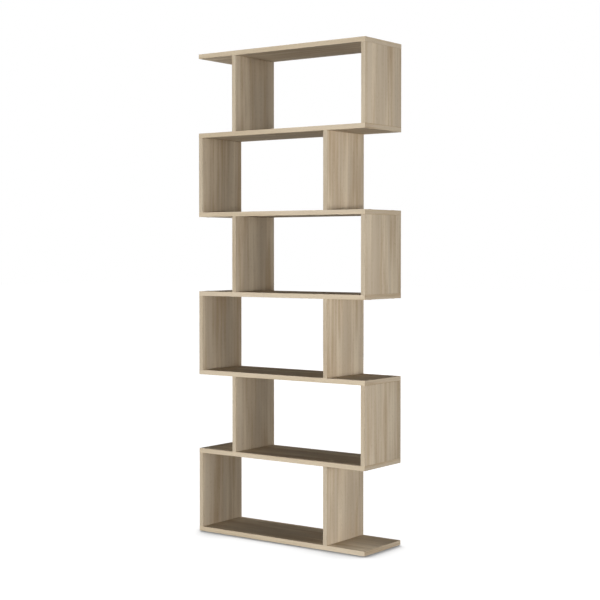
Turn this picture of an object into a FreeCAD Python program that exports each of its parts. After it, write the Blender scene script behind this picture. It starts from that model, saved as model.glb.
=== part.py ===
import FreeCAD, Part
import os
from types import SimpleNamespace

import Sketcher
from FreeCAD import Placement, Rotation, Vector

# Zigzag bookcase: full-width shelves held apart by two uprights on every tier. One upright stands
# flush with a shelf end, the other stands in from the opposite end, and the sides swap on each tier.
# Boards are melamine-faced chipboard with glued edging, butt-jointed with screws and dowels.
# Frame: origin on the floor under the middle of the base, +X right, +Y to the back, +Z up.

TIERS = 6
THREAD_RINGS = 8
# Share of the thread pitch where the root of a ring starts and ends
ROOT_START, ROOT_END = 0.25, 0.75
COS_30 = 0.8660254037844386

# Driving dimensions in millimetres: name, value, meaning
SIZES = (
    ("overall_width", 800, "shelf length, end to end, edging included"),
    ("overall_depth", 250, "shelf and upright depth, edging included"),
    ("board_thickness", 18, "all boards"),
    ("upright_height", 299, "clear height of a tier"),
    ("end_bay_width", 171, "shelf end to the near face of the inner upright"),
    ("edging_thickness", 1, "strip glued on the board edges"),
    ("edging_round", 0.6, "radius on the long outer corners of the edging"),
    ("screw_length", 50, "joint screw, head top to tip"),
    ("screw_diameter", 7, "joint screw shank and thread crest"),
    ("screw_core_diameter", 5, "joint screw thread root"),
    ("screw_tip_diameter", 3, "flat end of the tip"),
    ("screw_tip_length", 4, "plain cone at the tip"),
    ("screw_head_diameter", 10, "countersunk head"),
    ("screw_head_rim", 0.8, "straight rim above the countersunk cone"),
    ("screw_recess", 0.3, "head top below the board face"),
    ("screw_edge_inset", 45, "screw axis to the front or back of the boards"),
    ("screw_clearance", 0.1, "radial gap between a screw and its hole"),
    ("thread_start", 1, "first thread ring past the joint face"),
    ("socket_width", 4, "hexagon socket in the screw head, across flats"),
    ("socket_depth", 3, "hexagon socket"),
    ("dowel_diameter", 8, "beech dowel"),
    ("dowel_length", 30, "beech dowel"),
    ("dowel_depth", 10, "share of the dowel that sits in the shelf"),
    ("dowel_chamfer", 1, "chamfer on both dowel ends"),
    ("dowel_spacing", 64, "between the two dowels of a joint"),
    ("dowel_clearance", 0.1, "glue gap around a dowel"),
    ("cap_overlap", 1, "screw cap rim past the screw hole"),
    ("cap_thickness", 1, "screw cap above the board face"),
    ("cap_round", 0.6, "radius on the rim of the screw cap"),
    ("cap_stem_gap", 0.2, "gap around the cap stem in the hexagon socket"),
    ("glide_diameter", 20, "foot glide"),
    ("glide_height", 3, "base board above the floor"),
    ("glide_round", 0.8, "radius on the lower rim of a glide"),
    ("glide_recess", 1.4, "recess for the nail head under a glide"),
    ("glide_end_inset", 40, "outer glides, axis to the shelf end"),
    ("glide_edge_inset", 20, "glide axis to the front or back of the base"),
    ("nail_diameter", 2, "glide nail shank"),
    ("nail_length", 13, "glide nail, head included"),
    ("nail_head_diameter", 5, "glide nail"),
    ("nail_head_thickness", 0.9, "glide nail"),
    ("nail_point", 2, "cone at the nail tip"),
    ("nail_clearance", 0.05, "radial gap around a nail"),
)


class Size:
    """A length worked out from sheet cells: a number to draw with, and an expression to bind."""

    def __init__(self, value, text=None):
        self.value = value
        self.text = text or repr(value)

    def _join(self, sign, other, value):
        return Size(value, f"({self.text} {sign} {as_size(other).text})")

    def __add__(self, other):
        return self._join("+", other, self.value + as_size(other).value)

    def __sub__(self, other):
        return self._join("-", other, self.value - as_size(other).value)

    def __mul__(self, other):
        return self._join("*", other, self.value * as_size(other).value)

    def __truediv__(self, other):
        return self._join("/", other, self.value / as_size(other).value)

    def __neg__(self):
        return self * -1


def as_size(value):
    return value if isinstance(value, Size) else Size(value)


def bind(obj, path, size):
    """Ties a property of obj to the sheet."""
    obj.setExpression(path, as_size(size).text)


def make_sheet():
    """Fills the sheet and returns its cells as sizes, one attribute each."""
    sheet = doc.addObject("Spreadsheet::Sheet", "sizes")
    for row, (alias, value, meaning) in enumerate(SIZES, start=1):
        sheet.set(f"A{row}", alias)
        sheet.set(f"B{row}", str(value))
        sheet.set(f"C{row}", meaning)
        sheet.setAlias(f"B{row}", alias)
    doc.recompute()
    cells = {alias: Size(getattr(sheet, alias), f"sizes.{alias}") for alias, _, _ in SIZES}
    return SimpleNamespace(**cells)


# Sketches and features

def outline(body, name, plane_role, points):
    """A closed outline of straight lines in a body's own plane, every corner tied to the sheet."""
    sketch = body.newObject("Sketcher::SketchObject", name)
    plane = next(f for f in body.Origin.OriginFeatures if f.Role == plane_role)
    sketch.AttachmentSupport = [(plane, "")]
    sketch.MapMode = "FlatFace"
    points = [(as_size(x), as_size(y)) for x, y in points]
    corners = [Vector(x.value, y.value, 0) for x, y in points]
    for start, end in zip(corners, corners[1:] + corners[:1]):
        sketch.addGeometry(Part.LineSegment(start, end), False)
    for i in range(len(points)):
        sketch.addConstraint(Sketcher.Constraint("Coincident", i, 2, (i + 1) % len(points), 1))
    for i, (x, y) in enumerate(points):
        for direction, size in (("DistanceX", x), ("DistanceY", y)):
            index = sketch.addConstraint(Sketcher.Constraint(direction, -1, 1, i, 1, size.value))
            bind(sketch, f"Constraints[{index}]", size)
    return sketch


def turned(name, profile):
    """A body turned about its Z axis from (radius, height) points."""
    body = doc.addObject("PartDesign::Body", name)
    sketch = outline(body, f"{name}_profile", "XZ_Plane", profile)
    revolution = body.newObject("PartDesign::Revolution", f"{name}_turning")
    revolution.Profile = sketch
    revolution.ReferenceAxis = (sketch, ["V_Axis"])
    revolution.Angle = 360
    doc.recompute()
    return body


def padded(name, points, length):
    """A body padded up its Z axis from an outline on its XY plane."""
    body = doc.addObject("PartDesign::Body", name)
    pad = body.newObject("PartDesign::Pad", f"{name}_pad")
    pad.Profile = outline(body, f"{name}_outline", "XY_Plane", points)
    bind(pad, "Length", length)
    doc.recompute()
    return body


def rounded(body, radius, wanted):
    """Rounds the edges of a body's solid whose middle point wanted(point) picks out."""
    edges = body.Tip.Shape.Edges
    names = [f"Edge{i}" for i, edge in enumerate(edges, start=1) if wanted(edge.CenterOfGravity, edge)]
    base = body.Tip
    fillet = body.newObject("PartDesign::Fillet", f"{body.Name}_round")
    fillet.Base = (base, names)
    bind(fillet, "Radius", radius)
    doc.recompute()


def near(a, b):
    return abs(a - as_size(b).value) < 1e-6


def circle_at(edge, radius, height):
    """Is this edge a full circle of that radius at that height on the Z axis?"""
    is_circle = isinstance(edge.Curve, Part.Circle)
    return is_circle and near(edge.Curve.Radius, radius) and near(edge.Curve.Center.z, height)


# Placing and drilling

UPRIGHT = Rotation()
HEAD_UP = Rotation(Vector(1, 0, 0), 180)


def place(name, target, x, y, z, rotation=UPRIGHT):
    """A placed copy of target, which follows it when it changes."""
    link = doc.addObject("App::Link", name)
    link.LinkedObject = target
    link.Placement = Placement(Vector(), rotation)
    for axis, size in zip("xyz", (x, y, z)):
        bind(link, f"Placement.Base.{axis}", size)
    return link


def group(name, members):
    compound = doc.addObject("Part::Compound", name)
    compound.Links = members
    return compound


def box(name, length, width, height, x, y, z):
    blank = doc.addObject("Part::Box", name)
    for path, size in (("Length", length), ("Width", width), ("Height", height)):
        bind(blank, path, size)
    for axis, size in zip("xyz", (x, y, z)):
        bind(blank, f"Placement.Base.{axis}", size)
    return blank


def drilled(name, blank, drills):
    board = doc.addObject("Part::Cut", name)
    board.Base = blank
    board.Tool = group(f"{name}_drills", drills)
    return board


# Fasteners, drawn in the frame of a joint: origin on the shelf face that takes the screw heads,
# +Z through the shelf into the end of the upright.

def screw_profile(grow, top):
    """Half section of the joint screw, fatter by grow all round, with its head carried up to top."""
    head = d.screw_head_diameter / 2 + grow
    shank = d.screw_diameter / 2 + grow
    core = d.screw_core_diameter / 2 + grow
    tip = d.screw_tip_diameter / 2 + grow
    end = d.screw_recess + d.screw_length
    rim = d.screw_recess + d.screw_head_rim
    neck = rim + d.screw_head_diameter / 2 - d.screw_diameter / 2
    first = d.board_thickness + d.thread_start
    last = end - d.screw_tip_length
    pitch = (last - first) / THREAD_RINGS
    points = [(0, top), (head, top), (head, rim), (shank, neck), (shank, first)]
    for ring in range(THREAD_RINGS):
        root = first + pitch * ring
        points += [(core, root + pitch * ROOT_START), (core, root + pitch * ROOT_END), (shank, root + pitch)]
    points += [(core, last + pitch * ROOT_START), (tip, end + grow), (0, end + grow)]
    return points


def make_screw():
    """Countersunk joint screw with a hexagon socket. Its coarse thread is drawn as rings."""
    body = turned("joint_screw", screw_profile(Size(0), d.screw_recess))
    corner = d.socket_width / (2 * COS_30)
    half = d.socket_width / 2
    hexagon = [(corner, 0), (corner / 2, half), (-corner / 2, half),
               (-corner, 0), (-corner / 2, -half), (corner / 2, -half)]
    sketch = outline(body, "joint_screw_socket", "XY_Plane", hexagon)
    bind(sketch, "AttachmentOffset.Base.z", d.screw_recess)
    pocket = body.newObject("PartDesign::Pocket", "joint_screw_hexagon")
    pocket.Profile = sketch
    pocket.Reversed = True
    bind(pocket, "Length", d.socket_depth)
    doc.recompute()
    return body


def make_cap():
    """Cover cap: a round-edged disc on the board face with a stem in the screw's socket."""
    rim = cap_radius()
    stem = d.socket_width / 2 - d.cap_stem_gap
    stem_end = d.screw_recess + d.socket_depth - d.cap_stem_gap
    body = turned("screw_cap", [(0, -d.cap_thickness), (rim, -d.cap_thickness), (rim, 0),
                                (stem, 0), (stem, stem_end), (0, stem_end)])
    rounded(body, d.cap_round, lambda point, edge: circle_at(edge, rim, -d.cap_thickness))
    return body


def cap_radius():
    return d.screw_head_diameter / 2 + d.screw_clearance + d.cap_overlap


def make_dowel():
    """Beech dowel across the joint face, with chamfered ends."""
    radius = d.dowel_diameter / 2
    start = d.board_thickness - d.dowel_depth
    end = start + d.dowel_length
    narrow = radius - d.dowel_chamfer
    return turned("joint_dowel", [(0, start), (narrow, start), (radius, start + d.dowel_chamfer),
                                  (radius, end - d.dowel_chamfer), (narrow, end), (0, end)])


def make_dowel_bore():
    radius = d.dowel_diameter / 2 + d.dowel_clearance
    start = d.board_thickness - d.dowel_depth - d.dowel_clearance
    end = start + d.dowel_length + d.dowel_clearance * 2
    return turned("dowel_bore", [(0, start), (radius, start), (radius, end), (0, end)])


def pair(name, target, offset):
    """Two copies of a joint's fastener, towards the front and the back."""
    members = [place(f"{name}_{side}", target, 0, y, 0) for side, y in (("front", -offset), ("back", offset))]
    return group(name, members)


# Foot glides, drawn in a frame on the floor under the glide

def make_glide():
    """Round plastic glide with a hole and a recess for its nail."""
    shank = d.nail_diameter / 2 + d.nail_clearance
    head = d.nail_head_diameter / 2 + d.nail_clearance
    rim = d.glide_diameter / 2
    body = turned("glide", [(shank, d.glide_recess), (head, d.glide_recess), (head, 0),
                            (rim, 0), (rim, d.glide_height), (shank, d.glide_height)])
    rounded(body, d.glide_round, lambda point, edge: circle_at(edge, rim, 0))
    return body


def make_nail():
    shank = d.nail_diameter / 2
    head = d.nail_head_diameter / 2
    bottom = d.glide_recess - d.nail_head_thickness
    top = bottom + d.nail_length
    return turned("nail", [(0, bottom), (head, bottom), (head, d.glide_recess), (shank, d.glide_recess),
                           (shank, top - d.nail_point), (0, top)])


def make_nail_bore():
    radius = d.nail_diameter / 2 + d.nail_clearance
    top = d.glide_recess - d.nail_head_thickness + d.nail_length + d.nail_clearance
    return turned("nail_bore", [(0, 0), (radius, 0), (radius, top), (0, top)])


def glide_places():
    """Axes of the glides: a pair near each end and a pair under the middle."""
    x = d.overall_width / 2 - d.glide_end_inset
    y = d.overall_depth / 2 - d.glide_edge_inset
    return [(along, across) for along in (-x, Size(0), x) for across in (-y, y)]


# Edging, drawn with +X out of the board, +Y through its thickness and +Z along the strip

def make_strip(name, length):
    thick = d.edging_thickness
    wide = d.board_thickness
    body = padded(name, [(0, 0), (thick, 0), (thick, wide), (0, wide)], length)
    rounded(body, d.edging_round, lambda point, edge: (
        near(point.x, thick) and near(point.z, length / 2) and (near(point.y, 0) or near(point.y, wide))))
    return body


def facing(out, through, along):
    return Rotation(Vector(*out), Vector(*through), Vector(*along), "XYZ")


SHELF_FRONT = facing((0, -1, 0), (0, 0, 1), (-1, 0, 0))
SHELF_BACK = facing((0, 1, 0), (0, 0, 1), (1, 0, 0))
SHELF_LEFT = facing((-1, 0, 0), (0, 0, 1), (0, 1, 0))
SHELF_RIGHT = facing((1, 0, 0), (0, 0, 1), (0, -1, 0))
UPRIGHT_FRONT = facing((0, -1, 0), (1, 0, 0), (0, 0, 1))
UPRIGHT_BACK = facing((0, 1, 0), (-1, 0, 0), (0, 0, 1))


# Boards

def shelf_name(level):
    if level == 0:
        return "base_shelf"
    return "top_shelf" if level == TIERS else f"shelf_{level}"


def shelf_bottom(level):
    return d.glide_height + (d.board_thickness + d.upright_height) * level


def uprights_of(tier):
    """Names and left faces of a tier's two uprights. Odd tiers have the outer one at the left end."""
    end = d.overall_width / 2
    thick = d.board_thickness
    outer, inner = (-end, end - d.end_bay_width - thick)
    if tier % 2 == 0:
        outer, inner = (end - thick, -end + d.end_bay_width)
    return [(f"tier_{tier}_outer_upright", outer), (f"tier_{tier}_inner_upright", inner)]


def make_joints():
    """One screwed and dowelled joint at each end of every upright, as its place in the frame."""
    joints = []
    for tier in range(1, TIERS + 1):
        for upright, left in uprights_of(tier):
            x = left + d.board_thickness / 2
            under = shelf_bottom(tier - 1)
            over = shelf_bottom(tier) + d.board_thickness
            joints += [
                SimpleNamespace(tier=tier, upright=upright, level=tier - 1, x=x, z=under, turn=UPRIGHT),
                SimpleNamespace(tier=tier, upright=upright, level=tier, x=x, z=over, turn=HEAD_UP),
            ]
    return joints


def at_joints(name, target, joints):
    """A copy of target at every one of the joints."""
    return [place(f"{name}_{j.upright}_level_{j.level}", target, j.x, 0, j.z, j.turn) for j in joints]


def make_shelf(level, drills):
    """A drilled shelf board and its edging: long strips over the ends of the short ones."""
    name, bottom, edge = shelf_name(level), shelf_bottom(level), d.edging_thickness
    half_width, half_depth = d.overall_width / 2, d.overall_depth / 2
    blank = box(f"{name}_blank", d.overall_width - edge * 2, d.overall_depth - edge * 2, d.board_thickness,
                edge - half_width, edge - half_depth, bottom)
    strips = [
        place(f"{name}_front_strip", long_strip, half_width, edge - half_depth, bottom, SHELF_FRONT),
        place(f"{name}_back_strip", long_strip, -half_width, half_depth - edge, bottom, SHELF_BACK),
        place(f"{name}_left_strip", short_strip, edge - half_width, edge - half_depth, bottom, SHELF_LEFT),
        place(f"{name}_right_strip", short_strip, half_width - edge, half_depth - edge, bottom, SHELF_RIGHT),
    ]
    return [drilled(name, blank, drills), group(f"{name}_edging", strips)]


def make_upright(name, left, tier, drills):
    """A drilled upright and the edging on its front and back."""
    edge, half_depth = d.edging_thickness, d.overall_depth / 2
    bottom = shelf_bottom(tier) - d.upright_height
    blank = box(f"{name}_blank", d.board_thickness, d.overall_depth - edge * 2, d.upright_height,
                left, edge - half_depth, bottom)
    strips = [
        place(f"{name}_front_strip", upright_strip, left, edge - half_depth, bottom, UPRIGHT_FRONT),
        place(f"{name}_back_strip", upright_strip, left + d.board_thickness, half_depth - edge, bottom,
              UPRIGHT_BACK),
    ]
    return [drilled(name, blank, drills), group(f"{name}_edging", strips)]


doc = FreeCAD.newDocument("zigzag_bookcase")
d = make_sheet()

# Joint hardware and the holes that take it. The screws that come up through the base have no caps.
screw_offset = d.overall_depth / 2 - d.screw_edge_inset
dowel_offset = d.dowel_spacing / 2
screw_bore = turned("screw_bore", screw_profile(d.screw_clearance, -d.cap_thickness))
joint_bores = group("joint_bores", [pair("screw_bores", screw_bore, screw_offset),
                                    pair("dowel_bores", make_dowel_bore(), dowel_offset)])
screw_pair = pair("screw_pair", make_screw(), screw_offset)
dowel_pair = pair("dowel_pair", make_dowel(), dowel_offset)
cap_pair = pair("cap_pair", make_cap(), screw_offset)

joints = make_joints()
drills = dict(zip([(j.upright, j.level) for j in joints], at_joints("bores", joint_bores, joints)))
sub_parts = []
for tier in range(1, TIERS + 1):
    of_tier = [j for j in joints if j.tier == tier]
    capped = [j for j in of_tier if j.level > 0]
    sub_parts += [
        group(f"tier_{tier}_joint_screws", at_joints("screws", screw_pair, of_tier)),
        group(f"tier_{tier}_joint_dowels", at_joints("dowels", dowel_pair, of_tier)),
        group(f"tier_{tier}_screw_caps", at_joints("caps", cap_pair, capped)),
    ]

# Glides and their nails under the base
glide, nail, nail_bore = make_glide(), make_nail(), make_nail_bore()
sub_parts += [
    group("foot_glides", [place(f"glide_{i}", glide, x, y, 0) for i, (x, y) in enumerate(glide_places())]),
    group("glide_nails", [place(f"nail_{i}", nail, x, y, 0) for i, (x, y) in enumerate(glide_places())]),
]
nail_drills = [place(f"nail_bore_{i}", nail_bore, x, y, 0) for i, (x, y) in enumerate(glide_places())]

# Boards and edging
long_strip = make_strip("long_strip", d.overall_width)
short_strip = make_strip("short_strip", d.overall_depth - d.edging_thickness * 2)
upright_strip = make_strip("upright_strip", d.upright_height)
for level in range(TIERS + 1):
    through = [drill for (_, at), drill in drills.items() if at == level]
    sub_parts += make_shelf(level, through + (nail_drills if level == 0 else []))
for tier in range(1, TIERS + 1):
    for name, left in uprights_of(tier):
        sub_parts += make_upright(name, left, tier, [drills[name, tier - 1], drills[name, tier]])

doc.recompute()
for obj in doc.Objects:
    if "Invalid" in obj.State or "Error" in obj.State:
        raise RuntimeError(f"{obj.Label} failed: {obj.State}")
for part in sub_parts:
    if part.Shape.isNull() or not part.Shape.isValid() or not part.Shape.Solids:
        raise RuntimeError(f"{part.Label} has no valid solid")

os.makedirs("parts", exist_ok=True)
for part in sub_parts:
    part.Shape.exportStep(f"parts/{part.Label}.step")
print(len(sub_parts), "sub-parts,", sum(len(part.Shape.Solids) for part in sub_parts), "solids")
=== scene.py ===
# %% [markdown]
# # A zigzag bookcase in oak-print board
#
# Full-width shelves stand on pairs of uprights that swap sides on every tier. The construction is a
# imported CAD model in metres, with +Z up and the front towards -Y, so the place of every piece is read from
# it and nothing is fitted by eye. Blender adds what a drawing lacks: drilled boards with broken edges, the
# oak print, the finish of every fitting, a studio and the camera.

# %% Load the construction
import math

import bpy
from mathutils import Matrix, Vector


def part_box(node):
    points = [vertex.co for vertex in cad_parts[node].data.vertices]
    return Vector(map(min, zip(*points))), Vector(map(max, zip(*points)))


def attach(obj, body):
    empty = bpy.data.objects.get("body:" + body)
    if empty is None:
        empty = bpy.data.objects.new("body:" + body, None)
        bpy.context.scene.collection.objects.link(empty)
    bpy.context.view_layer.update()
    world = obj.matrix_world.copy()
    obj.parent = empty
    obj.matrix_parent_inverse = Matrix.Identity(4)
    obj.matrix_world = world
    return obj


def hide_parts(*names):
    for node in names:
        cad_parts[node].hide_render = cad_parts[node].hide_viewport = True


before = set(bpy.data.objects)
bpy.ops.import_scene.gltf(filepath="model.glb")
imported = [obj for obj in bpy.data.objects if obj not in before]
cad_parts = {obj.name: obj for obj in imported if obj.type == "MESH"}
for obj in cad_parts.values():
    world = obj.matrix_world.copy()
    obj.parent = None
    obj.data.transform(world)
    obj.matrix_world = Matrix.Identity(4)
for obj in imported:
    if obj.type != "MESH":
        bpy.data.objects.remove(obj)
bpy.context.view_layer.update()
bpy.context.scene.view_settings.view_transform = "Standard"

# %% [markdown]
# ## The boards by name
#
# The names follow the tiers from the floor up. Each tier has an outer upright, flush with a shelf end,
# and an inner one, set in from the other end. A list of names is enough, because the size and place of
# each board come from the construction.

# %% Name the boards
TIERS = 6
SHELVES = ["base_shelf"] + [f"shelf_{n}" for n in range(1, TIERS)] + ["top_shelf"]
UPRIGHTS = [f"tier_{n}_{side}_upright" for n in range(1, TIERS + 1) for side in ("outer", "inner")]
BOARDS = SHELVES + UPRIGHTS
print(len(SHELVES), "shelves and", len(UPRIGHTS), "uprights")

# %% [markdown]
# ## Working on one object at a time
#
# Blender's operators act on whatever is selected, and the construction arrives selected. So each step
# first selects just its own object. Applying the transform moves an object's place, turn and size into
# its mesh.

# %% Selection helpers


def take(piece):
    """Selects one object alone and makes it the active one."""
    bpy.ops.object.select_all(action="DESELECT")
    piece.select_set(True)
    bpy.context.view_layer.objects.active = piece


def apply_place(piece):
    """Moves the piece's place, turn and size into its mesh."""
    take(piece)
    bpy.ops.object.transform_apply(location=True, rotation=True, scale=True)


def select_in_edit_mode(piece, kind, wanted):
    """Enters edit mode with just those faces or edges selected that wanted() picks."""
    take(piece)
    bpy.ops.object.mode_set(mode="EDIT")
    bpy.ops.mesh.select_mode(type=kind)
    bpy.ops.mesh.select_all(action="DESELECT")
    bpy.ops.object.mode_set(mode="OBJECT")
    for element in piece.data.polygons if kind == "FACE" else piece.data.edges:
        element.select = wanted(element)
    bpy.ops.object.mode_set(mode="EDIT")


print("selected on arrival:", len(bpy.context.selected_objects), "objects")

# %% [markdown]
# ## Drills
#
# A joint has two screws and two dowels across the end of an upright. The screw goes through the shelf
# from its far face, so its drill is stepped: a shank, a countersink and a pocket for the head. It starts
# as a plain cylinder. Its end is extruded and widened, then extruded again, the way a bit is drawn by
# hand. Each drill is modelled once, pointing down from a face at height zero, and copied to its holes.

# %% Model the drills
# Radii and depths of the bores, a little more than those of the screw, dowel and nail
SHANK_BORE, HEAD_BORE, SCREW_REACH = 0.0036, 0.0051, 0.0504
RIM_DEPTH, NECK_DEPTH = 0.0011, 0.0026
DOWEL_BORE, DOWEL_IN_SHELF, DOWEL_IN_UPRIGHT = 0.0041, 0.0101, 0.0201
NAIL_BORE, NAIL_REACH = 0.00105, 0.01055
BOARD_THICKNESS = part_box("base_shelf")[1].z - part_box("base_shelf")[0].z
DRILL_SIDES = 32
PAST = 0.001
FACING = 0.99


def plain_drill(name, radius, top, bottom):
    """A straight drill between two heights."""
    bpy.ops.object.select_all(action="DESELECT")
    bpy.ops.mesh.primitive_cylinder_add(vertices=DRILL_SIDES, radius=radius, depth=top - bottom,
                                        location=(0, 0, (top + bottom) / 2))
    drill = bpy.context.object
    drill.name = name
    apply_place(drill)
    return drill


def stepped_drill(name, bottom):
    """The screw drill: a shank, a countersink from neck to rim, and a straight pocket past it."""
    drill = plain_drill(name, SHANK_BORE, -NECK_DEPTH, bottom)
    select_in_edit_mode(drill, "FACE", lambda face: face.normal.z > FACING)
    widen = HEAD_BORE / SHANK_BORE
    bpy.ops.mesh.extrude_region_move(TRANSFORM_OT_translate={"value": (0, 0, NECK_DEPTH - RIM_DEPTH)})
    bpy.ops.transform.resize(value=(widen, widen, 1))
    bpy.ops.mesh.extrude_region_move(TRANSFORM_OT_translate={"value": (0, 0, RIM_DEPTH + PAST)})
    bpy.ops.object.mode_set(mode="OBJECT")
    return drill


screw_drill = stepped_drill("screw_drill", -BOARD_THICKNESS - PAST)
thread_drill = plain_drill("thread_drill", SHANK_BORE, PAST, BOARD_THICKNESS - SCREW_REACH)
dowel_drill = plain_drill("dowel_drill", DOWEL_BORE, DOWEL_IN_UPRIGHT, -DOWEL_IN_SHELF)
nail_drill = plain_drill("nail_drill", NAIL_BORE, NAIL_REACH, -PAST)
print("screw drill:", len(screw_drill.data.polygons), "faces")

# %% [markdown]
# ## Where the holes go
#
# The screw and dowel nodes give the spacing across the depth, and the uprights give the joint lines. At
# the foot of an upright the screw comes up from below, so its drill is turned over. A hole is noted as
# the drill, its place, and whether it is turned.

# %% Plan the joints
SCREW_HEAD_RADIUS, DOWEL_RADIUS = 0.005, 0.004
SCREW_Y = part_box("tier_1_joint_screws")[1].y - SCREW_HEAD_RADIUS
DOWEL_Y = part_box("tier_1_joint_dowels")[1].y - DOWEL_RADIUS
holes = {board: [] for board in BOARDS}


def plan_joint(upright, shelf, x, joint_z, turned):
    """Notes the holes of one joint, in the shelf and in the end of the upright."""
    away = -1 if turned else 1
    for side in (-1, 1):
        screw_at = Vector((x, side * SCREW_Y, joint_z))
        dowel_at = Vector((x, side * DOWEL_Y, joint_z))
        head_face = screw_at + Vector((0, 0, away * BOARD_THICKNESS))
        holes[shelf].append((screw_drill, head_face, turned))
        holes[upright].append((thread_drill, screw_at, turned))
        for board in (shelf, upright):
            holes[board].append((dowel_drill, dowel_at, not turned))


for upright in UPRIGHTS:
    tier = int(upright.split("_")[1])
    low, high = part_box(upright)
    middle = (low.x + high.x) / 2
    plan_joint(upright, SHELVES[tier - 1], middle, low.z, turned=True)
    plan_joint(upright, SHELVES[tier], middle, high.z, turned=False)
print("holes in a shelf:", len(holes["shelf_1"]), "and in an upright:", len(holes[UPRIGHTS[0]]))

# %% [markdown]
# ## Nail holes
#
# Six round glides keep the base off the floor, three along the front and three along the back, and one
# nail holds each. The box round all the glides gives the middles of the outer ones.

# %% Plan the nail holes
GLIDE_RADIUS = 0.010
glides_low, glides_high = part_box("foot_glides")
for x in (glides_low.x + GLIDE_RADIUS, 0, glides_high.x - GLIDE_RADIUS):
    for y in (glides_low.y + GLIDE_RADIUS, glides_high.y - GLIDE_RADIUS):
        holes["base_shelf"].append((nail_drill, Vector((x, y, glides_high.z)), False))
print("holes in the base:", len(holes["base_shelf"]))

# %% [markdown]
# ## Cutting a board
#
# Each board is chipboard between two printed faces. By hand one would scale a cube and cut its holes with
# a Boolean. The drills of one board are joined first, because one cut with many bits is quicker than many
# cuts with one.

# %% Board and bit helpers


def blank_board(node):
    """A cube at the size and place of a CAD board."""
    low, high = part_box(node)
    bpy.ops.object.select_all(action="DESELECT")
    bpy.ops.mesh.primitive_cube_add(size=1, location=(low + high) / 2)
    board = bpy.context.object
    board.name = board.data.name = f"oak_{node}"
    board.scale = high - low
    apply_place(board)
    return board


def place_bits(planned):
    """Copies of the planned drills at their holes, joined to one object."""
    bits = []
    for drill, place, turned in planned:
        bit = bpy.data.objects.new("bit", drill.data.copy())
        bpy.context.collection.objects.link(bit)
        turn = Matrix.Rotation(math.pi, 4, "X") if turned else Matrix()
        bit.matrix_world = Matrix.Translation(place) @ turn
        bits.append(bit)
    bpy.ops.object.select_all(action="DESELECT")
    for bit in bits:
        bit.select_set(True)
    bpy.context.view_layer.objects.active = bits[0]
    bpy.ops.object.join()
    apply_place(bits[0])
    return bits[0]


def cut_holes(board, planned):
    """Cuts the planned holes into the board."""
    bits = place_bits(planned)
    take(board)
    cut = board.modifiers.new("holes", "BOOLEAN")
    cut.operation = "DIFFERENCE"
    cut.solver = "EXACT"
    cut.object = bits
    bpy.ops.object.modifier_apply(modifier=cut.name)
    bpy.data.objects.remove(bits)


print("holes to cut:", sum(len(planned) for planned in holes.values()))

# %% [markdown]
# ## Shaping the boards
#
# No board keeps a knife-sharp edge, so the long edges are bevelled by a quarter of a millimetre. The sawn
# ends of an upright lose a little more, and that leaves the fine dark line which shows wherever an upright
# meets a shelf. An edge is picked by the sides of the board that it lies in: an outer edge lies in two.

# %% Shape the boards
BROKEN_EDGE, SAWN_EDGE = 0.00025, 0.0006
BEVEL_STEPS = 2
FLAT_ANGLE = math.radians(40)
TOLERANCE = 1e-6
X, Y, Z = range(3)


def sides_of(board, limits, edge):
    """The axes of the board's sides that an edge lies in: one on a face, two on an outer edge."""
    ends = [board.data.vertices[index].co for index in edge.vertices]
    return [axis for axis in (X, Y, Z) for limit in limits
            if all(abs(point[axis] - limit[axis]) < TOLERANCE for point in ends)]


def bevel_edges(board, width, wanted):
    """Bevels the edges that wanted() picks."""
    select_in_edit_mode(board, "EDGE", wanted)
    bpy.ops.mesh.bevel(offset=width, segments=BEVEL_STEPS)
    bpy.ops.object.mode_set(mode="OBJECT")


def break_edges(board, node):
    """Breaks the outer edges of the board. The rims of the holes stay sharp."""
    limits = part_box(node)
    if node in UPRIGHTS:
        bevel_edges(board, SAWN_EDGE, lambda edge: sides_of(board, limits, edge) == [X, Z])
    bevel_edges(board, BROKEN_EDGE, lambda edge: len(sides_of(board, limits, edge)) == 2)
    take(board)
    bpy.ops.object.shade_smooth_by_angle(angle=FLAT_ANGLE)


boards = {}
for node in BOARDS:
    boards[node] = blank_board(node)
    cut_holes(boards[node], holes[node])
    break_edges(boards[node], node)
for drill in (screw_drill, thread_drill, dowel_drill, nail_drill):
    bpy.data.objects.remove(drill)
print("faces on", boards["shelf_1"].name, len(boards["shelf_1"].data.polygons))

# %% [markdown]
# ## Which way the grain runs
#
# The print runs along a shelf and up an upright. A UV map named grain stores that on each face: u is
# metres along the grain and v metres across it. Each face starts somewhere else in the print, as if cut
# from another sheet, so no two faces match. The narrow sides and the holes show bare chipboard, which
# gets a second material slot.

# %% Lay the grain
OAK, CHIPBOARD = 0, 1
SHEET_STEP_ALONG, SHEET_STEP_ACROSS = 1.91, 0.83


def lay_grain(board, number, along, across, face_axis):
    """Stores the grain coordinates on the two printed faces and gives the other faces to the chipboard."""
    mesh = board.data
    grain = mesh.uv_layers.new(name="grain")
    for face in mesh.polygons:
        printed = abs(face.normal[face_axis]) > FACING
        face.material_index = OAK if printed else CHIPBOARD
        sheet = number * 2 + (face.normal[face_axis] > 0)
        for loop in face.loop_indices:
            point = mesh.vertices[mesh.loops[loop].vertex_index].co
            grain.data[loop].uv = (point[along] + sheet * SHEET_STEP_ALONG,
                                   point[across] + sheet * SHEET_STEP_ACROSS)


for number, node in enumerate(BOARDS, 1):
    if node in SHELVES:
        lay_grain(boards[node], number, along=X, across=Y, face_axis=Z)
    else:
        lay_grain(boards[node], number, along=Z, across=Y, face_axis=X)
print("grain laid on", len(boards), "boards")

# %% [markdown]
# ## Joining the boards to the construction
#
# Nothing on this bookcase moves, so all boards ride on its one body. Each new board stands for the CAD
# board of the same place, which stays behind it for the physics.

# %% Register the boards
for node, board in boards.items():
    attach(board, "root")
    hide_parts(node)
print("boards replaced:", len(boards))

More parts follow.
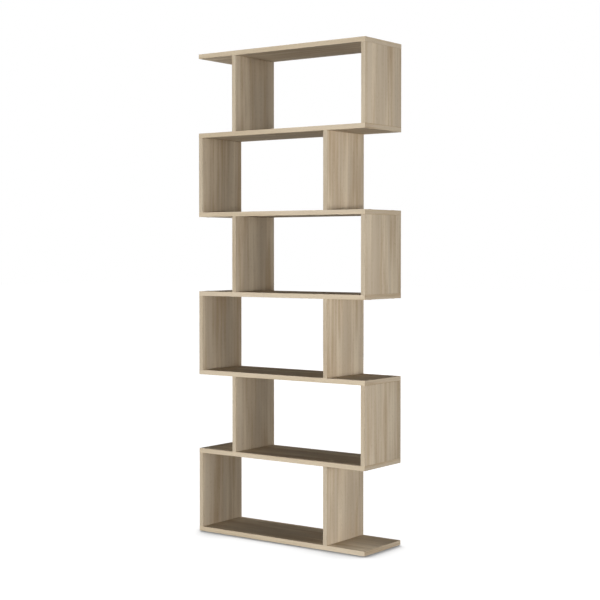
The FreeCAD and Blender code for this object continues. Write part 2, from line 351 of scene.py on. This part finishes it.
# %% [markdown]
# ## Building materials from nodes
#
# A material is a small network. These helpers add one node at a time, fill its inputs with numbers or
# with the outputs of other nodes, and hand back the output. Colours are written as they look on screen
# and turned into the linear values that the shader takes.

# %% Node helpers


def linear(red, green, blue):
    """A screen colour, 0 to 255, as the linear colour that a shader takes."""
    def channel(value):
        value = value / 255
        return value / 12.92 if value <= 0.04045 else ((value + 0.055) / 1.055) ** 2.4
    return (channel(red), channel(green), channel(blue), 1)


def add(tree, kind, inputs, **settings):
    """Adds a node, sets its options, and fills its inputs with values or with other nodes' outputs."""
    node = tree.nodes.new(kind)
    for option, value in settings.items():
        setattr(node, option, value)
    for socket, value in inputs.items():
        if isinstance(value, bpy.types.NodeSocket):
            tree.links.new(value, node.inputs[socket])
        else:
            node.inputs[socket].default_value = value
    return node


def calc(tree, operation, *values):
    """One Math node."""
    return add(tree, "ShaderNodeMath", dict(enumerate(values)), operation=operation).outputs[0]


def blend(tree, share, first, second, data="RGBA"):
    """One Mix node, for colours or for vectors."""
    mix = add(tree, "ShaderNodeMix", {}, data_type=data)
    for socket, value in (("Factor", share), ("A", first), ("B", second)):
        target = next(s for s in mix.inputs if s.name == socket and s.enabled)
        if isinstance(value, bpy.types.NodeSocket):
            tree.links.new(value, target)
        else:
            target.default_value = value
    return next(s for s in mix.outputs if s.enabled)


def spread(tree, value, low, high, new_low=0.0, new_high=1.0):
    """One Map Range node, clamped, with soft ends."""
    inputs = {"Value": value, "From Min": low, "From Max": high, "To Min": new_low, "To Max": new_high}
    return add(tree, "ShaderNodeMapRange", inputs, interpolation_type="SMOOTHSTEP").outputs["Result"]


print("mid grey on screen is", round(linear(128, 128, 128)[0], 3), "in the shader")

# %% [markdown]
# ## Patterns and finishes
#
# Every pattern here grows out of noise. Noise that is drawn out along the grain gives streaks, and plain
# noise gives mottles, clouds and dust. Most of its values lie between 0.3 and 0.7, so that is the range
# which a finish spreads out. A bump lets a pattern shape the light without changing the mesh.

# %% Pattern helpers
NOISE_ENDS = (0.3, 0.7)


def streaks(tree, grain, along, across, detail):
    """Noise drawn out along the grain, with features about that long and that wide, in metres."""
    drawn = add(tree, "ShaderNodeMapping", {"Vector": grain, "Scale": (1 / along, 1 / across, 1)})
    noise = add(tree, "ShaderNodeTexNoise", {"Vector": drawn.outputs[0], "Scale": 1.0, "Detail": detail},
                noise_dimensions="2D")
    return noise.outputs["Fac"]


def object_place(tree):
    """Where a point lies on the bookcase, in metres."""
    return add(tree, "ShaderNodeTexCoord", {}).outputs["Object"]


def noise_at(tree, place, scale, detail):
    """Plain noise with that many features per metre."""
    inputs = {"Vector": place, "Scale": scale, "Detail": detail}
    return add(tree, "ShaderNodeTexNoise", inputs).outputs["Fac"]


def new_material(name):
    """An empty material with a Principled shader, as (material, tree, shader)."""
    material = bpy.data.materials.new(name)
    material.use_nodes = True
    return material, material.node_tree, material.node_tree.nodes["Principled BSDF"]


def paint(tree, shader, colour, roughness):
    """Gives a shader a colour and a roughness that change over the surface."""
    tree.links.new(colour, shader.inputs["Base Color"])
    tree.links.new(roughness, shader.inputs["Roughness"])


def press(tree, shader, height, depth, strength):
    """Lets a height pattern shape the light on a shader, as if it were that many metres deep."""
    bump = add(tree, "ShaderNodeBump", {"Height": height, "Distance": depth, "Strength": strength})
    tree.links.new(bump.outputs["Normal"], shader.inputs["Normal"])


print("noise is spread from", NOISE_ENDS[0], "to", NOISE_ENDS[1])

# %% [markdown]
# ## The oak print
#
# The decor is a photograph of pale oak, printed on paper under clear resin. From a step away one sees
# straight streaks one to two centimetres wide and a slow drift between warm and grey. Close up there are
# fibres and short dark pores. Each scale is one noise texture drawn out along the grain. A contour pattern
# adds the long arches of the growth rings, and the pores crowd where one ring ends and the next begins.

# %% Growth rings and pores
# Each scale is as long along the grain and as wide across it, in metres, and repeats at half size
SWAY = {"along": 1.5, "across": 0.05, "detail": 1}
PORE = {"along": 0.016, "across": 0.0010, "detail": 1}
SWAY_RINGS = 2.0
HALF_RING = 0.5
PORE_ENDS = (0.60, 0.72)
NO_PORES, ALL_PORES = 0.9, 0.3


def growth_rings(tree, grain, ring_width):
    """A wavy contour pattern across the grain, from 0 where a ring begins to 1 half way through it."""
    sway = streaks(tree, grain, **SWAY)
    across = add(tree, "ShaderNodeSeparateXYZ", {0: grain}).outputs["Y"]
    rings = calc(tree, "DIVIDE", across, ring_width)
    rings = calc(tree, "MULTIPLY_ADD", sway, SWAY_RINGS, rings)
    return spread(tree, calc(tree, "PINGPONG", rings, HALF_RING), 0.0, HALF_RING)


def pores_in(tree, grain, ring):
    """A mask of short pores, which fade out towards the middle of a ring."""
    pores = spread(tree, streaks(tree, grain, **PORE), *PORE_ENDS)
    return calc(tree, "MULTIPLY", pores, spread(tree, ring, NO_PORES, ALL_PORES))


print("a pore is about", PORE["along"] * 1000, "mm long")

# %% [markdown]
# ## One group for every printed surface
#
# Boards and edging share the print with other colours, so it is a node group with named inputs. It puts
# out what changes over the surface: the colour, the roughness and the height that a bump presses in.

# %% Make the oak print group
PRINT_INPUTS = {"Grain": "Vector", "Dark": "Color", "Pale": "Color", "Grey": "Color", "Ring Width": "Float"}
PRINT_OUTPUTS = {"Color": "Color", "Roughness": "Float", "Height": "Float"}
BAND = {"along": 0.5, "across": 0.06, "detail": 4}
FIBRE = {"along": 0.16, "across": 0.0028, "detail": 3}
HAIR = {"along": 0.03, "across": 0.0006, "detail": 2}
DRIFT = {"along": 0.9, "across": 0.06, "detail": 2}
SHARES = {"band": 0.60, "ring": 0.06, "fibre": 0.22, "hair": 0.12}
TONE_ENDS = (0.34, 0.66)
DRIFT_ENDS, DRIFT_STRENGTH = (0.40, 0.70), 0.7
PORE_BROWN, PORE_STRENGTH = linear(128, 104, 78), 0.30
SMOOTHEST, ROUGHEST, PORE_ROUGHER = 0.72, 0.82, 0.12
HAIR_HEIGHT, PORE_DEPTH = 0.4, 0.6


def new_group(name, inputs, outputs):
    """An empty node group with those sockets, as (group, start, end)."""
    group = bpy.data.node_groups.new(name, "ShaderNodeTree")
    for direction, sockets in (("INPUT", inputs), ("OUTPUT", outputs)):
        for socket, kind in sockets.items():
            group.interface.new_socket(socket, in_out=direction, socket_type=f"NodeSocket{kind}")
    return group, group.nodes.new("NodeGroupInput").outputs, group.nodes.new("NodeGroupOutput").inputs


def make_oak_print():
    group, start, end = new_group("oak_print", PRINT_INPUTS, PRINT_OUTPUTS)
    grain = start["Grain"]
    ring = growth_rings(group, grain, start["Ring Width"])
    pores = pores_in(group, grain, ring)
    band, fibre, hair, drift = (streaks(group, grain, **scale) for scale in (BAND, FIBRE, HAIR, DRIFT))

    tone = calc(group, "MULTIPLY", band, SHARES["band"])
    for name, part in (("ring", ring), ("fibre", fibre), ("hair", hair)):
        tone = calc(group, "MULTIPLY_ADD", part, SHARES[name], tone)
    colour = blend(group, spread(group, tone, *TONE_ENDS), start["Dark"], start["Pale"])
    greyed = spread(group, drift, *DRIFT_ENDS, 0.0, DRIFT_STRENGTH)
    colour = blend(group, greyed, colour, start["Grey"])
    colour = blend(group, calc(group, "MULTIPLY", pores, PORE_STRENGTH), colour, PORE_BROWN)

    roughness = spread(group, hair, *NOISE_ENDS, SMOOTHEST, ROUGHEST)
    roughness = calc(group, "MULTIPLY_ADD", pores, PORE_ROUGHER, roughness)
    height = calc(group, "MULTIPLY_ADD", pores, -PORE_DEPTH, calc(group, "MULTIPLY", hair, HAIR_HEIGHT))
    for name, value in (("Color", colour), ("Roughness", roughness), ("Height", height)):
        group.links.new(value, end[name])
    return group


oak_print = make_oak_print()
print("oak print:", len(oak_print.nodes), "nodes")

# %% [markdown]
# ## Board faces
#
# Melamine is a matt, hard resin: a soft sheen and pores that are pressed a hair's breadth deep. The print
# reads the grain map of each board, and a weak bump presses its pores in.

# %% Board material
MATT_GLOSS = 0.03
PRESSED_DEPTH, PRESSED_STRENGTH = 0.00004, 0.6
FACE = {"dark": linear(182, 161, 134), "pale": linear(213, 198, 174), "grey": linear(193, 178, 157)}
FACE_RING = 0.024


def place_print(tree, shader, grain, dark, pale, grey, ring_width):
    """Puts the oak print on a shader."""
    inputs = {"Grain": grain, "Dark": dark, "Pale": pale, "Grey": grey, "Ring Width": ring_width}
    printed = add(tree, "ShaderNodeGroup", inputs, node_tree=oak_print).outputs
    paint(tree, shader, printed["Color"], printed["Roughness"])
    press(tree, shader, printed["Height"], PRESSED_DEPTH, PRESSED_STRENGTH)
    shader.inputs["Specular IOR Level"].default_value = MATT_GLOSS


def make_oak_face():
    material, tree, shader = new_material("oak_melamine")
    grain = add(tree, "ShaderNodeUVMap", {}, uv_map="grain").outputs["UV"]
    place_print(tree, shader, grain, ring_width=FACE_RING, **FACE)
    return material


oak_face = make_oak_face()
print("made", oak_face.name)

# %% [markdown]
# ## Bare chipboard
#
# Inside a screw pocket and in the hairline between two boards the core shows: glued chips of a few
# millimetres in several browns. Voronoi cells give each chip its own tone, and fine noise breaks up the
# flat cells.

# %% Chipboard material
CHIPS_PER_METRE, DUST_PER_METRE = 420.0, 1500.0
CHIP_DEPTH, CHIP_STRENGTH = 0.0003, 0.5
DARK_CHIP, PALE_CHIP, GLUE_BROWN = linear(138, 108, 74), linear(196, 168, 128), linear(112, 84, 56)
DUST_STRENGTH = 0.4
SAWN_SMOOTHEST, SAWN_ROUGHEST = 0.82, 0.96


def make_chipboard():
    material, tree, shader = new_material("chipboard")
    place = object_place(tree)
    chips = add(tree, "ShaderNodeTexVoronoi", {"Vector": place, "Scale": CHIPS_PER_METRE}).outputs
    dust = noise_at(tree, place, DUST_PER_METRE, detail=2)
    tone = add(tree, "ShaderNodeSeparateColor", {0: chips["Color"]}).outputs["Red"]
    colour = blend(tree, tone, DARK_CHIP, PALE_CHIP)
    colour = blend(tree, calc(tree, "MULTIPLY", dust, DUST_STRENGTH), colour, GLUE_BROWN)
    paint(tree, shader, colour, spread(tree, dust, *NOISE_ENDS, SAWN_SMOOTHEST, SAWN_ROUGHEST))
    press(tree, shader, chips["Distance"], CHIP_DEPTH, CHIP_STRENGTH)
    return material


chipboard = make_chipboard()
for board in boards.values():
    board.data.materials.append(oak_face)
    board.data.materials.append(chipboard)
print("board materials:", [m.name for m in boards["base_shelf"].data.materials])

# %% [markdown]
# ## Edging
#
# The narrow sides are covered by a printed strip with its grain along the strip. On the shelf ends it has
# the tone of the faces. Along the front and back of a shelf it is painted a little paler than the faces,
# which is painted light, not a paler strip. These strips keep their CAD shape, so the grain comes from
# Object
# coordinates: along X on the long sides of a shelf, along Y on its ends, and along Z on an upright. A strip
# is narrow, so the print on it is made finer, and each strip starts somewhere else in it.

# %% Edging materials
HALF_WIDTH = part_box("base_shelf_edging")[1].x
EDGING_THICKNESS = HALF_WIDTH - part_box("base_shelf")[1].x
TIER_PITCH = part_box("shelf_1")[0].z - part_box("base_shelf")[0].z
EDGE_RING = 0.011
STRIP_STEP = 6.0
FINER = 2.0
# Painted light: the tones for the front and back of a shelf strip, paler than those of the faces
SHELF_EDGE_PAINTED_LIGHT = {"dark": linear(203, 186, 159), "pale": linear(219, 203, 178), "grey": linear(211, 196, 173)}
UPRIGHT_EDGE = {"dark": linear(182, 164, 138), "pale": linear(208, 194, 171), "grey": linear(196, 182, 160)}


def make_shelf_edging():
    material, tree, shader = new_material("oak_edging_shelf")
    x, y, z = add(tree, "ShaderNodeSeparateXYZ", {0: object_place(tree)}).outputs
    up = calc(tree, "MULTIPLY", z, FINER)
    across_side = calc(tree, "MULTIPLY_ADD", y, STRIP_STEP, up)
    across_end = calc(tree, "MULTIPLY_ADD", x, STRIP_STEP, up)
    side = add(tree, "ShaderNodeCombineXYZ", {"X": x, "Y": across_side}).outputs[0]
    end = add(tree, "ShaderNodeCombineXYZ", {"X": y, "Y": across_end}).outputs[0]
    at_end = calc(tree, "GREATER_THAN", calc(tree, "ABSOLUTE", x), HALF_WIDTH - EDGING_THICKNESS)
    grain = blend(tree, at_end, side, end, data="VECTOR")
    # The front and back take the paler tones, which are painted light; the ends take the tones of the faces
    colours = {tone: blend(tree, at_end, SHELF_EDGE_PAINTED_LIGHT[tone], FACE[tone]) for tone in FACE}
    place_print(tree, shader, grain, ring_width=EDGE_RING, **colours)
    return material


def make_upright_edging():
    material, tree, shader = new_material("oak_edging_upright")
    x, y, z = add(tree, "ShaderNodeSeparateXYZ", {0: object_place(tree)}).outputs
    across = calc(tree, "MULTIPLY_ADD", y, STRIP_STEP, calc(tree, "MULTIPLY", x, FINER))
    across = calc(tree, "MULTIPLY_ADD", calc(tree, "SNAP", z, TIER_PITCH), STRIP_STEP, across)
    grain = add(tree, "ShaderNodeCombineXYZ", {"X": z, "Y": across}).outputs[0]
    place_print(tree, shader, grain, ring_width=EDGE_RING, **UPRIGHT_EDGE)
    return material


shelf_edging, upright_edging = make_shelf_edging(), make_upright_edging()
print("made", shelf_edging.name, "and", upright_edging.name)

# %% [markdown]
# ## Dressing CAD nodes
#
# A CAD node whose shape is right stays, and only its material changes. The new material goes on the
# object and not on its mesh, which is left alone.

# %% Dress the edging


def dress(node, material):
    """Gives a CAD node a new material through its own slot."""
    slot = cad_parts[node].material_slots[0]
    slot.link = "OBJECT"
    slot.material = material


for node in SHELVES:
    dress(f"{node}_edging", shelf_edging)
for node in UPRIGHTS:
    dress(f"{node}_edging", upright_edging)
print("edging on", len(BOARDS), "boards")

# %% [markdown]
# ## Plastic caps and glides
#
# The caps over the screw heads are moulded in the colour of the oak, and the glides under the base are
# dark brown. Moulded plastic is never quite even: two near colours are mottled, and the mould leaves a
# fine skin. Both are one function with other values.

# %% Plastic materials
CAP = {"colour": linear(192, 174, 146), "other": linear(202, 186, 160), "mottles_per_metre": 180.0,
       "roughness": 0.62, "gloss": 0.15}
GLIDE = {"colour": linear(58, 44, 34), "other": linear(70, 55, 43), "mottles_per_metre": 160.0,
         "roughness": 0.42, "gloss": 0.5}
MOTTLE_ENDS = (0.35, 0.65)
SKIN_FINER, SKIN_DEPTH, SKIN_STRENGTH = 12, 0.00003, 0.3
UNEVEN = 0.06


def make_moulded(name, colour, other, mottles_per_metre, roughness, gloss):
    """Moulded plastic: a faint mottling of two near colours and an eroded, slightly uneven skin."""
    material, tree, shader = new_material(name)
    place = object_place(tree)
    mottle = noise_at(tree, place, mottles_per_metre, detail=3)
    skin = noise_at(tree, place, mottles_per_metre * SKIN_FINER, detail=2)
    mixed = blend(tree, spread(tree, mottle, *MOTTLE_ENDS), colour, other)
    paint(tree, shader, mixed, spread(tree, mottle, *NOISE_ENDS, roughness - UNEVEN, roughness + UNEVEN))
    press(tree, shader, skin, SKIN_DEPTH, SKIN_STRENGTH)
    shader.inputs["Specular IOR Level"].default_value = gloss
    return material


cap_plastic = make_moulded("cap_plastic", **CAP)
glide_plastic = make_moulded("glide_plastic", **GLIDE)
print("made", cap_plastic.name, "and", glide_plastic.name)

# %% [markdown]
# ## Zinc and beech
#
# The screws and nails are zinc-plated steel, with a cloudy sheen. The dowels are beech, with short darker
# flecks along them, which is the same noise squeezed across the dowel.

# %% Zinc and beech materials
ZINC = {"bright": linear(205, 207, 208), "dull": linear(182, 185, 189), "smoothest": 0.26, "roughest": 0.44}
BEECH = {"tan": linear(212, 177, 138), "brown": linear(174, 132, 94), "smoothest": 0.62, "roughest": 0.78}
CLOUDS_PER_METRE = 220.0
FLECKS_PER_METRE = (1400, 1400, 130)
FLECK_ENDS = (0.45, 0.7)


def make_zinc(bright, dull, smoothest, roughest):
    """Bright zinc plating with cloudy patches."""
    material, tree, shader = new_material("zinc_steel")
    cloud = noise_at(tree, object_place(tree), CLOUDS_PER_METRE, detail=4)
    colour = blend(tree, spread(tree, cloud, *NOISE_ENDS), bright, dull)
    paint(tree, shader, colour, spread(tree, cloud, *NOISE_ENDS, smoothest, roughest))
    shader.inputs["Metallic"].default_value = 1.0
    return material


def make_beech(tan, brown, smoothest, roughest):
    """Turned beech: pinkish tan with short flecks along the dowel."""
    material, tree, shader = new_material("beech_dowel")
    drawn = add(tree, "ShaderNodeMapping", {"Vector": object_place(tree), "Scale": FLECKS_PER_METRE})
    fleck = noise_at(tree, drawn.outputs[0], scale=1.0, detail=2)
    colour = blend(tree, spread(tree, fleck, *FLECK_ENDS), tan, brown)
    paint(tree, shader, colour, spread(tree, fleck, *NOISE_ENDS, smoothest, roughest))
    return material


zinc, beech = make_zinc(**ZINC), make_beech(**BEECH)
print("made", zinc.name, "and", beech.name)

# %% [markdown]
# ## Dressing the fittings
#
# The screws, dowels and caps of one tier share a node each, and so do the glides and their nails. Their
# shapes are the CAD ones.

# %% Dress the fittings
fittings = {"foot_glides": glide_plastic, "glide_nails": zinc}
for tier in range(1, TIERS + 1):
    fittings[f"tier_{tier}_joint_screws"] = zinc
    fittings[f"tier_{tier}_joint_dowels"] = beech
    fittings[f"tier_{tier}_screw_caps"] = cap_plastic
for node, material in fittings.items():
    dress(node, material)
print("fittings dressed:", len(fittings), "nodes")

# %% [markdown]
# ## Floor
#
# The bookcase stands in a white studio. The floor throws back little light, but the camera and reflections
# see it as plain white. Where the base shuts out the light, the floor darkens, and that leaves a soft
# contact shadow in the white: a broad one in front and at the right, and a narrow one all round.

# %% Floor
FLOOR_SIZE = 60.0
FLOOR_COLOUR = (0.25, 0.25, 0.25, 1)
WHITE = (1, 1, 1, 1)
FLOOR_LIFT, SHADOW_LIFT = 1.0, 0.2
SHADOW_REACH, CONTACT_REACH = 0.2, 0.05
SHADOW_DARK = 0.30
SHADOW_LEAN = (-0.60, 0.50, 0.62)


def seen_directly(tree):
    """1 for rays from the camera, and for those that reflections and glass send on."""
    path = add(tree, "ShaderNodeLightPath", {}).outputs
    mirrored = calc(tree, "MAXIMUM", path["Is Glossy Ray"], path["Is Transmission Ray"])
    return calc(tree, "MAXIMUM", path["Is Camera Ray"], mirrored)


def make_floor_material():
    material, tree, shader = new_material("studio_floor")
    lean = add(tree, "ShaderNodeCombineXYZ", dict(enumerate(SHADOW_LEAN))).outputs[0]
    broad = add(tree, "ShaderNodeAmbientOcclusion", {"Distance": SHADOW_REACH, "Normal": lean})
    narrow = add(tree, "ShaderNodeAmbientOcclusion", {"Distance": CONTACT_REACH})
    shade = calc(tree, "MINIMUM", broad.outputs["AO"], narrow.outputs["AO"])
    lift = spread(tree, shade, SHADOW_DARK, 1.0, SHADOW_LIFT, FLOOR_LIFT)
    lift = calc(tree, "MULTIPLY", seen_directly(tree), lift)
    tree.links.new(lift, shader.inputs["Emission Strength"])
    shader.inputs["Base Color"].default_value = FLOOR_COLOUR
    shader.inputs["Roughness"].default_value = 1.0
    shader.inputs["Specular IOR Level"].default_value = 0.0
    shader.inputs["Emission Color"].default_value = WHITE
    return material


bpy.ops.object.select_all(action="DESELECT")
bpy.ops.mesh.primitive_plane_add(size=FLOOR_SIZE)
floor = bpy.context.object
floor.name = "studio_floor"
floor.data.materials.append(make_floor_material())
print("floor", FLOOR_SIZE, "m wide")

# %% [markdown]
# ## World
#
# The world is a bright band along the horizon under a dim dome, as low broad lights would give, so the
# shelf tops stay dark. The camera and reflections see it as plain white instead, like the floor.

# %% World
BAND_LIGHT, DOME_LIGHT = 1.8, 0.05
BAND_TOP = 0.20


def make_world():
    world = bpy.data.worlds.new("studio")
    world.use_nodes = True
    tree = world.node_tree
    tree.nodes.clear()
    direction = add(tree, "ShaderNodeTexCoord", {}).outputs["Generated"]
    up = add(tree, "ShaderNodeSeparateXYZ", {0: direction}).outputs["Z"]
    strength = spread(tree, up, 0.0, BAND_TOP, BAND_LIGHT, DOME_LIGHT)
    dim = add(tree, "ShaderNodeBackground", {"Color": WHITE, "Strength": strength}).outputs[0]
    white = add(tree, "ShaderNodeBackground", {"Color": WHITE, "Strength": 1.0}).outputs[0]
    mix = add(tree, "ShaderNodeMixShader", {0: seen_directly(tree), 1: dim, 2: white}).outputs[0]
    add(tree, "ShaderNodeOutputWorld", {"Surface": mix})
    return world


bpy.context.scene.world = make_world()
print("world:", bpy.context.scene.world.name)

# %% [markdown]
# ## Lamps
#
# Area lamps stand round the bookcase. The broad one in front, a little to the right, lights the shelf
# fronts. Its opening is narrowed, as a grid narrows a softbox, so it weakens towards the top. Others stand
# at the right, at the left and behind, for the sides that it doesn't reach. All stand low, between knee
# and table height, so they skim past the shelf tops, and a small one overhead lights the top shelf.

# %% Lamps
AIM = Vector((0, 0, 0.75))


def make_lamp(name, azimuth, distance, height, size, power, opening=180):
    """An area lamp at an azimuth from the front, in degrees towards the right, that faces the bookcase."""
    turn = math.radians(azimuth)
    lamp = bpy.data.lights.new(name, "AREA")
    lamp.shape = "RECTANGLE"
    lamp.size, lamp.size_y = size
    lamp.energy = power
    lamp.spread = math.radians(opening)
    placed = bpy.data.objects.new(name, lamp)
    bpy.context.collection.objects.link(placed)
    placed.location = (math.sin(turn) * distance, -math.cos(turn) * distance, height)
    placed.rotation_euler = (AIM - placed.location).to_track_quat("-Z", "Y").to_euler()
    placed.visible_camera = False
    placed.visible_glossy = False
    return placed


lamps = [
    make_lamp("front_lamp", azimuth=13, distance=9.0, height=0.45, size=(4.0, 0.9), power=123, opening=80),
    make_lamp("right_lamp", azimuth=90, distance=8.0, height=0.70, size=(2.2, 1.2), power=230),
    make_lamp("back_lamp", azimuth=195, distance=9.0, height=0.70, size=(2.0, 1.4), power=420),
    make_lamp("left_lamp", azimuth=270, distance=8.0, height=0.50, size=(2.2, 1.0), power=170),
    make_lamp("top_lamp", azimuth=0, distance=0.0, height=4.9, size=(0.6, 0.6), power=45),
]
print("lamps:", [lamp.name for lamp in lamps])

# %% [markdown]
# ## Camera
#
# The view comes from board edges measured in a square picture: the camera stands five metres off, about
# 36 degrees to the right and at chest height. It looks down by a degree and a half, which hardly leans the
# uprights, and a small shift of the lens does the rest of the framing.

# %% Camera
CAMERA_PLACE = (3.1621, -4.3056, 1.1396)
CAMERA_TURN, CAMERA_TILT = 36.19, 1.5
LENS_MM, SENSOR_MM = 81.52, 36.0
SHIFT_UP = -0.0246

lens = bpy.data.cameras.new("view")
lens.lens, lens.sensor_width = LENS_MM, SENSOR_MM
lens.shift_y = SHIFT_UP
camera = bpy.data.objects.new("view", lens)
bpy.context.collection.objects.link(camera)
camera.location = CAMERA_PLACE
camera.rotation_euler = (math.radians(90 - CAMERA_TILT), 0, math.radians(CAMERA_TURN))
bpy.context.scene.camera = camera
print("camera at", tuple(camera.location))
